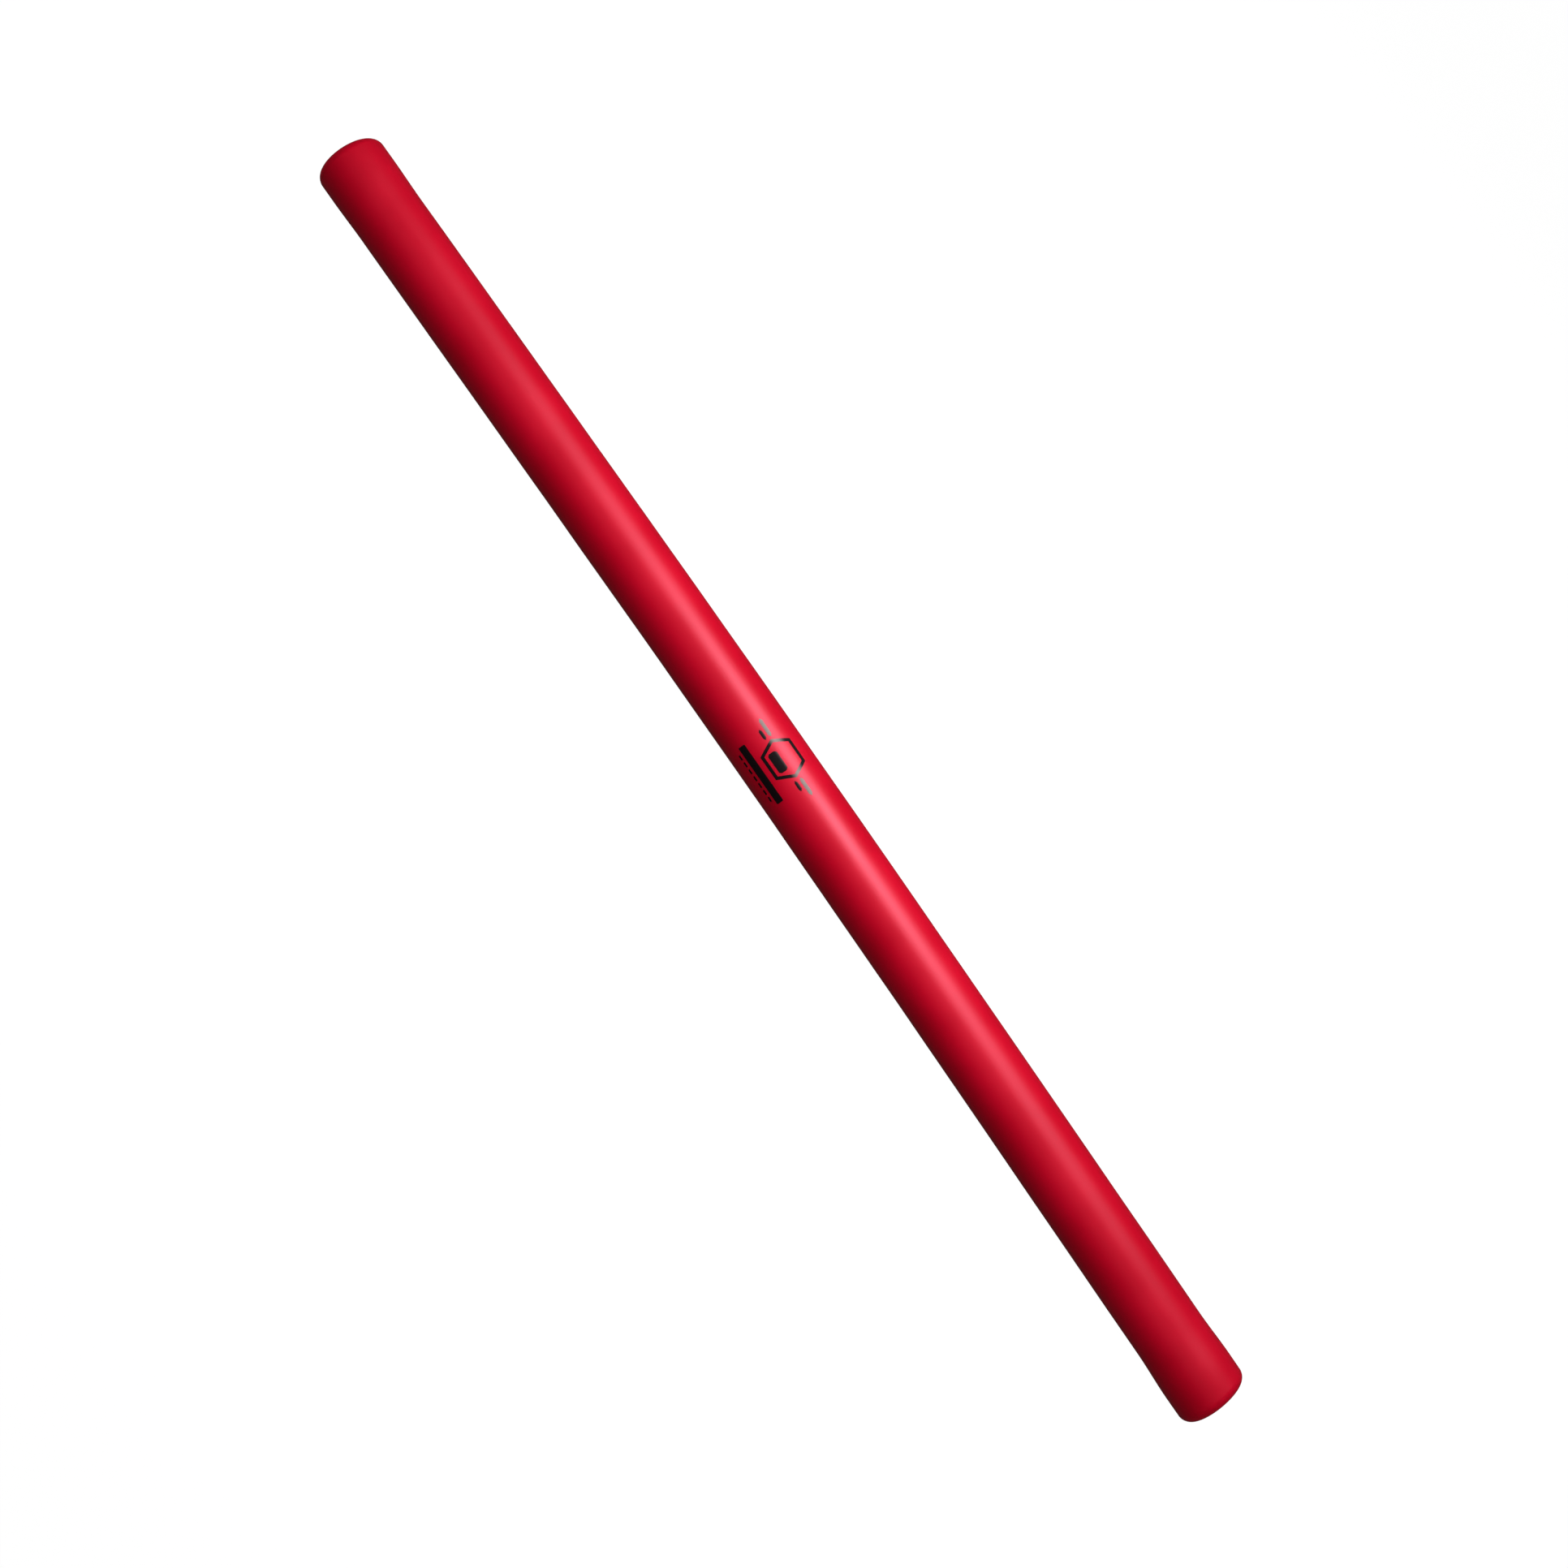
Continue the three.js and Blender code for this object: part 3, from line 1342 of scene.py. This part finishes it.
@dataclass
class Mark:
    """The print on the barrel: a blank badge between stripes, over a plain bar and dashes.

    Attributes:
        shop: The shared modelling steps.
        badge: Outline of the badge, which is printed as a frame.
        plate: Outline of the solid plate in the badge.
        upper_stripe: Outline of the longer stripe on either side of the badge.
        lower_stripe: Outline of the shorter stripe below it.
        stripe_pitch: Distance between the stripes on either side of the badge.
        bar: Outline of the bar under the badge.
        dash: Outline of a dash under the bar.
        dashes: Number of dashes.
        dash_pitch: Distance from dash to dash.
        frame: Width of the badge's frame.
        film: Thickness of the ink film.
        lift: Gap between the skin and the film.
        spare: How much longer a band is than the patch that it is trimmed to.
        facets: Facets round the barrel that the patches are cut from.
    """

    shop: Workshop
    badge: Patch = Patch(19.5 * MM, 16 * MM, 3.9 * MM, 3.9 * MM, 7.8 * MM)
    plate: Patch = Patch(9.8 * MM, 4.4 * MM, 0.9 * MM, 0.9 * MM, 0.9 * MM)
    upper_stripe: Patch = Patch(9.2 * MM, 1.7 * MM, 5.0 * MM, 1.2 * MM, 0.84 * MM)
    lower_stripe: Patch = Patch(5.2 * MM, 1.4 * MM, 2.2 * MM, 1.0 * MM, 0.69 * MM)
    bar: Patch = Patch(29.2 * MM, 3.7 * MM, -8.4 * MM, 0.4 * MM, 0.4 * MM)
    dash: Patch = Patch(2.4 * MM, 1.1 * MM, -12.1 * MM, 0.2 * MM, 0.2 * MM)
    dashes: int = 7
    dash_pitch: float = 3.6 * MM
    stripe_pitch: float = 30.6 * MM
    frame: float = 1.45 * MM
    film: float = 0.05 * MM
    lift: float = 0.03 * MM
    spare: float = 2 * MM
    facets: int = 240

    def solids(self) -> list[Patch]:
        """List the patches that are printed solid.

        Returns:
            The plate, the bar, the stripes and the dashes.
        """
        upper = row(self.upper_stripe, 2, self.stripe_pitch)
        inward = self.upper_stripe.length - self.lower_stripe.length
        lower = row(self.lower_stripe, 2, self.stripe_pitch - inward)
        dashes = row(self.dash, self.dashes, self.dash_pitch)
        return [self.plate, self.bar, *upper, *lower, *dashes]

    def planes(self, patch: Patch, inset: float = 0.0) -> list[tuple[Vector, Vector]]:
        """Stand the sides of a patch on the barrel as cutting planes.

        Args:
            patch: The patch.
            inset: How far the sides are moved inwards.

        Returns:
            A point on each plane and its outward normal.
        """
        sizes = self.shop.sizes
        forward = Vector((1, 0, 0))
        centre = Vector((sizes.print_centre + patch.offset, 0, sizes.axis))
        planes = []
        for (along, around), (out_along, out_around) in patch.sides():
            angle = (patch.middle + around - inset * out_around) / sizes.barrel
            radial = Vector((0, math.sin(angle), math.cos(angle)))
            tangent = Vector((0, math.cos(angle), -math.sin(angle)))
            spot = centre + (along - inset * out_along) * forward + sizes.barrel * radial
            planes.append((spot, out_along * forward + out_around * tangent))
        return planes

    def cut_patch(self, name: str, patch: Patch) -> bpy.types.Object:
        """Trim a band of the barrel down to a patch, and leave it in edit mode.

        Args:
            name: The new piece's name.
            patch: The outline to cut.

        Returns:
            The trimmed sheet.
        """
        sizes = self.shop.sizes
        centre = Vector((sizes.print_centre + patch.offset, 0, sizes.axis))
        piece = self.shop.begin(
            name,
            bpy.ops.mesh.primitive_cylinder_add,
            vertices=self.facets,
            radius=sizes.barrel,
            depth=patch.length + self.spare,
            end_fill_type="NOTHING",
            location=centre,
            rotation=(0, math.pi / 2, 0),
        )
        middle = patch.middle / sizes.barrel
        upward = Vector((0, math.sin(middle), math.cos(middle)))
        bpy.ops.mesh.bisect(plane_co=centre, plane_no=upward, clear_inner=True)
        for spot, normal in self.planes(patch):
            bpy.ops.mesh.select_all(action="SELECT")
            bpy.ops.mesh.bisect(plane_co=spot, plane_no=normal, clear_outer=True)
        bpy.ops.mesh.select_all(action="SELECT")
        bpy.ops.mesh.remove_doubles(threshold=MERGE_DISTANCE)
        return piece

    def keep_frame(self, piece: bpy.types.Object, patch: Patch) -> None:
        """Cut the window out of a patch that is in edit mode, so that its frame is left.

        Args:
            piece: The trimmed sheet.
            patch: Its outline.
        """
        planes = self.planes(patch, self.frame)
        for spot, normal in planes:
            bpy.ops.mesh.select_all(action="SELECT")
            bpy.ops.mesh.bisect(plane_co=spot, plane_no=normal)
        bpy.ops.mesh.select_mode(type="FACE")
        bpy.ops.mesh.select_all(action="DESELECT")
        mesh = bmesh.from_edit_mesh(piece.data)
        for face in mesh.faces:
            middle = face.calc_center_median()
            face.select_set(all((middle - spot).dot(normal) < 0 for spot, normal in planes))
        bmesh.update_edit_mesh(piece.data)
        bpy.ops.mesh.delete(type="FACE")

    def build(self, skin: bpy.types.Object) -> bpy.types.Object:
        """Build the print and lay it on the skin.

        Args:
            skin: The finished skin, before it is bent.

        Returns:
            The print.
        """
        badge = self.cut_patch("badge", self.badge)
        self.keep_frame(badge, self.badge)
        bpy.ops.object.mode_set(mode="OBJECT")
        islands = [badge]
        for patch in self.solids():
            islands.append(self.cut_patch("island", patch))
            bpy.ops.object.mode_set(mode="OBJECT")
        self.shop.pick(*islands)
        bpy.ops.object.join()
        mark = bpy.context.active_object
        mark.name = mark.data.name = "mark_film"
        self.shop.modify(
            mark,
            "SHRINKWRAP",
            target=skin,
            wrap_method="NEAREST_SURFACEPOINT",
            wrap_mode="ABOVE_SURFACE",
            offset=self.lift,
        )
        self.shop.modify(mark, "SOLIDIFY", thickness=self.film, offset=1.0)
        self.shop.smooth(mark)
        return install(mark, PrintInk().material(), "print_ink", "transfer_print")


# ---------------------------------------------------------------------------------------------
# The studio
# ---------------------------------------------------------------------------------------------


@dataclass(frozen=True)
class SoftLight:
    """A rectangular soft light that faces a point.

    Attributes:
        name: The light's name.
        place: Where it stands.
        target: The point that it faces.
        length: Size along the stick.
        height: Size across the stick.
        power: Power in watts.
        shading: Whether it lights matt surfaces.
        shining: Whether it shows in glossy surfaces.
    """

    name: str
    place: Vector
    target: Vector
    length: float
    height: float
    power: float
    shading: bool = True
    shining: bool = True

    def build(self) -> bpy.types.Object:
        """Add the light.

        Returns:
            The light.
        """
        data = bpy.data.lights.new(self.name, "AREA")
        data.shape = "RECTANGLE"
        data.size = self.length
        data.size_y = self.height
        data.energy = self.power
        light = bpy.data.objects.new(self.name, data)
        light.location = self.place
        light.rotation_euler = (self.place - self.target).to_track_quat("Z", "Y").to_euler()
        light.visible_diffuse = self.shading
        light.visible_glossy = self.shining
        light.visible_camera = False
        bpy.context.scene.collection.objects.link(light)
        return light


@dataclass
class Studio:
    """The pale floor, the soft light and the camera over the stick.

    Attributes:
        sizes: The stick's main sizes.
        ground: Height of the floor that the stick rests on.
        distance: Distance from the camera to the stick's axis.
        heading: Turn of the picture's right-hand direction from +X towards +Y.
        lean: Lean of the camera from straight above towards +X.
        view_width: Width of the view at the stick's axis.
        centre_shift: How far the picture's centre lies from the stick's, to the right and up.
        floor_size: Length of the floor's sides.
        key: Length, height and power of the soft light on matt surfaces.
        key_slant: Slant of that light from straight above towards +Y.
        ceiling: Length, width and power of the light from straight above.
        soft_reach: Distance from the stick to both of them.
        sheen_slant: Slant of the soft light that shows in glossy surfaces.
        sheen_reach: Distance from the stick to it.
        end_panel: Width, height and power of the weak light that faces each tip.
        end_reach: Distance from each tip to that light.
        end_rise: Height of that light over the stick's axis.
        layers: Length, height and power of each layer of the sheen.
        ambient: Brightness of the surroundings.
        backdrop: Brightness of the floor and of the backdrop behind it.
    """

    sizes: StickSizes
    ground: float
    distance: float = 920 * MM
    heading: float = math.radians(55.08)
    lean: float = math.radians(2.9)
    view_width: float = 678.8 * MM
    centre_shift: Point = (3.77 * MM, -7.48 * MM)
    floor_size: float = 30.0
    key: Panel = (0.732, 0.188, 1.513)
    key_slant: float = math.radians(48.6)
    ceiling: Panel = (0.886, 0.2, 0.543)
    soft_reach: float = 300 * MM
    sheen_slant: float = math.radians(46)
    sheen_reach: float = 650 * MM
    end_panel: Panel = (0.5, 0.16, 0.6)
    end_reach: float = 600 * MM
    end_rise: float = 90 * MM
    layers: tuple[Panel, ...] = ((0.22, 0.28, 5.0), (0.5, 0.5, 6.2), (0.85, 0.66, 4.2))
    ambient: float = 0.06
    backdrop: float = 0.99

    def camera(self) -> bpy.types.Object:
        """Add the camera and make it the scene's own.

        Returns:
            The camera.
        """
        data = bpy.data.cameras.new("camera")
        data.lens = data.sensor_width * self.distance / self.view_width
        data.clip_start = 10 * MM
        data.clip_end = 10 * self.floor_size
        camera = bpy.data.objects.new("camera", data)
        turn = Matrix.Rotation(self.lean, 4, "Y") @ Matrix.Rotation(self.heading, 4, "Z")
        right, up, back = (turn.to_3x3().col[index] for index in range(3))
        target = Vector((0, 0, self.sizes.axis))
        target += self.centre_shift[0] * right + self.centre_shift[1] * up
        camera.matrix_world = Matrix.Translation(target + self.distance * back) @ turn
        bpy.context.scene.collection.objects.link(camera)
        bpy.context.scene.camera = camera
        return camera

    def floor(self) -> bpy.types.Object:
        """Add the pale, glowing floor, which lights nothing else.

        Returns:
            The floor.
        """
        bpy.ops.object.select_all(action="DESELECT")
        bpy.ops.mesh.primitive_plane_add(size=self.floor_size, location=(0, 0, self.ground))
        floor = bpy.context.active_object
        floor.name = "floor"
        floor.data.materials.append(PaleFloor(self.backdrop).material())
        floor.visible_diffuse = False
        floor.visible_glossy = False
        floor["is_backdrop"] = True
        return floor

    def surroundings(self) -> bpy.types.World:
        """Add the dim surroundings, which the camera sees as a white backdrop.

        Returns:
            The world.
        """
        world = bpy.data.worlds.new("studio")
        bpy.context.scene.world = world
        world.use_nodes = True
        world.node_tree.nodes.clear()
        bench = NodeBench(world.node_tree)
        around = bench.node("ShaderNodeBackground", {}, {"Strength": self.ambient})
        white = {"Color": (1, 1, 1, 1), "Strength": self.backdrop}
        behind = bench.node("ShaderNodeBackground", {}, white)
        seen = bench.node("ShaderNodeLightPath").outputs["Is Camera Ray"]
        shaders = {0: seen, 1: around.outputs[0], 2: behind.outputs[0]}
        pick = bench.node("ShaderNodeMixShader", {}, shaders)
        bench.node("ShaderNodeOutputWorld", {}, {"Surface": pick.outputs[0]})
        return world

    def over(self, slant: float, reach: float) -> Vector:
        """Give the point at a distance from the stick's middle, slanted towards +Y."""
        return Vector((0, reach * math.sin(slant), self.sizes.axis + reach * math.cos(slant)))

    def lights(self) -> list[bpy.types.Object]:
        """Add the ceiling, and the soft light that is brighter towards its middle.

        Returns:
            The lights.
        """
        middle = self.over(0.0, 0.0)
        above = self.over(0.0, self.soft_reach)
        aside = self.over(self.key_slant, self.soft_reach)
        lights = [
            SoftLight("ceiling", above, middle, *self.ceiling, shining=False),
            SoftLight("key", aside, middle, *self.key, shining=False),
        ]
        sheen_place = self.over(self.sheen_slant, self.sheen_reach)
        for number, (length, height, power) in enumerate(self.layers):
            name = f"sheen_{number}"
            sheen = SoftLight(name, sheen_place, middle, length, height, power, shading=False)
            lights.append(sheen)
        for side in Side:
            tip = Vector((side.value * self.sizes.tip, 0, self.sizes.axis))
            place = tip + Vector((side.value * self.end_reach, 0, self.end_rise))
            name = f"end_{side.name.lower()}"
            lights.append(SoftLight(name, place, tip, *self.end_panel, shining=False))
        return [light.build() for light in lights]

    def build(self) -> None:
        """Build the floor, the lights and the camera, and show colours as they are."""
        self.camera()
        self.floor()
        self.surroundings()
        self.lights()
        bpy.context.scene.view_settings.view_transform = "Standard"
        bpy.context.scene.view_settings.look = "None"


def main() -> None:
    """Build the stick from the core outwards, then the studio round it."""
    logging.basicConfig(level=logging.INFO, format="%(name)s: %(message)s")
    sizes = StickSizes.from_frame(swell_height=0.4 * MM)
    shop = Workshop(sizes)
    end = EndShape(sizes)
    pieces = [*Core(shop).build(), *Padding(shop, end).build()]
    skin = Skin(shop, end).build()
    mark = Mark(shop).build(skin)
    shop.bend([*pieces, skin, mark])
    Studio(sizes, ground=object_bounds()[0].z).build()


if __name__ == "__main__":
    main()
